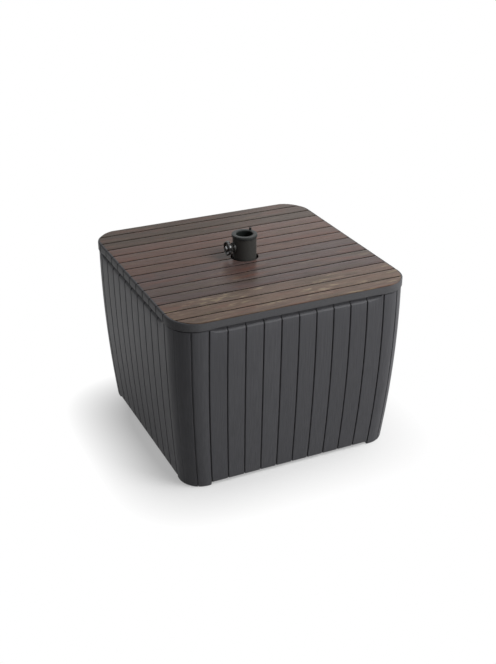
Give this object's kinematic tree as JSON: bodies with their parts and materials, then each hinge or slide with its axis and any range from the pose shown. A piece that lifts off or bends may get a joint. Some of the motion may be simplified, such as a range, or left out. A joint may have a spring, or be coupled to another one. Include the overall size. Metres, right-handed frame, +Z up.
{
  "type": "side table",
  "caption": "Square tapered resin side table with plank-pattern sides, a lift-off wood-look top and a clamping sleeve for a parasol pole in the middle.",
  "frame": {"origin": "on the ground under the middle of the table", "axes": "+Z up along the pole bore, -Y towards the front, the clamp knob points to -X"},
  "size_m": [0.57, 0.57, 0.4875],
  "materials": {
    "graphite_resin": "moulded wood grain, matt",
    "brown_resin": "moulded wood grain, mottled brown",
    "black_steel": "satin powder coat",
    "dark_collar": "satin moulding",
    "zinc": "bright zinc plate",
    "black_knob": "fine moulded texture",
    "rubber_pad": "matt",
    "ballast_grey": "rough moulding"
  },
  "bodies": {
    "base": {"corner_post_front_right": "graphite_resin", "corner_post_rear_right": "graphite_resin", "corner_post_rear_left": "graphite_resin", "corner_post_front_left": "graphite_resin", "front_panel": "graphite_resin", "right_panel": "graphite_resin", "rear_panel": "graphite_resin", "left_panel": "graphite_resin", "ballast_block_front_right": "ballast_grey", "ballast_block_rear_right": "ballast_grey", "ballast_block_rear_left": "ballast_grey", "ballast_block_front_left": "ballast_grey", "base_floor": "graphite_resin", "floor_screws": "zinc", "panel_screws": "zinc", "socket_flange": "black_steel", "socket_tube": "black_steel", "flange_bolts": "zinc", "flange_nuts": "zinc"},
    "lid": {"tabletop_deck": "brown_resin", "tabletop_frame": "graphite_resin", "deck_screws": "zinc", "lid_locators": "graphite_resin"},
    "sleeve": {"sleeve_tube": "black_steel", "sleeve_collar": "dark_collar", "clamp_nut": "black_steel"},
    "pad": {"clamp_pad": "rubber_pad"},
    "screw": {"clamp_screw": "zinc", "clamp_knob": "black_knob", "knob_cap": "zinc"}
  },
  "joints": [
    {"name": "lid_lift", "type": "slide", "parent": "base", "child": "lid", "axis": [0, 0, 1], "range_m": [0, 0.15]},
    {"name": "sleeve_pull", "type": "slide", "parent": "lid", "child": "sleeve", "axis": [0, 0, 1], "range_m": [0, 0.2]},
    {"name": "pad_advance", "type": "slide", "parent": "sleeve", "child": "pad", "axis": [1, 0, 0], "range_m": [0, 0.003]},
    {"name": "screw_turn", "type": "hinge", "parent": "pad", "child": "screw", "pos_m": [-0.0425, 0, 0.452], "axis": [1, 0, 0], "range_deg": [0, 722]}
  ],
  "couplings": [
    {"joint": "screw_turn", "follows": "pad_advance", "rad_per_m": 4188.8}
  ]
}
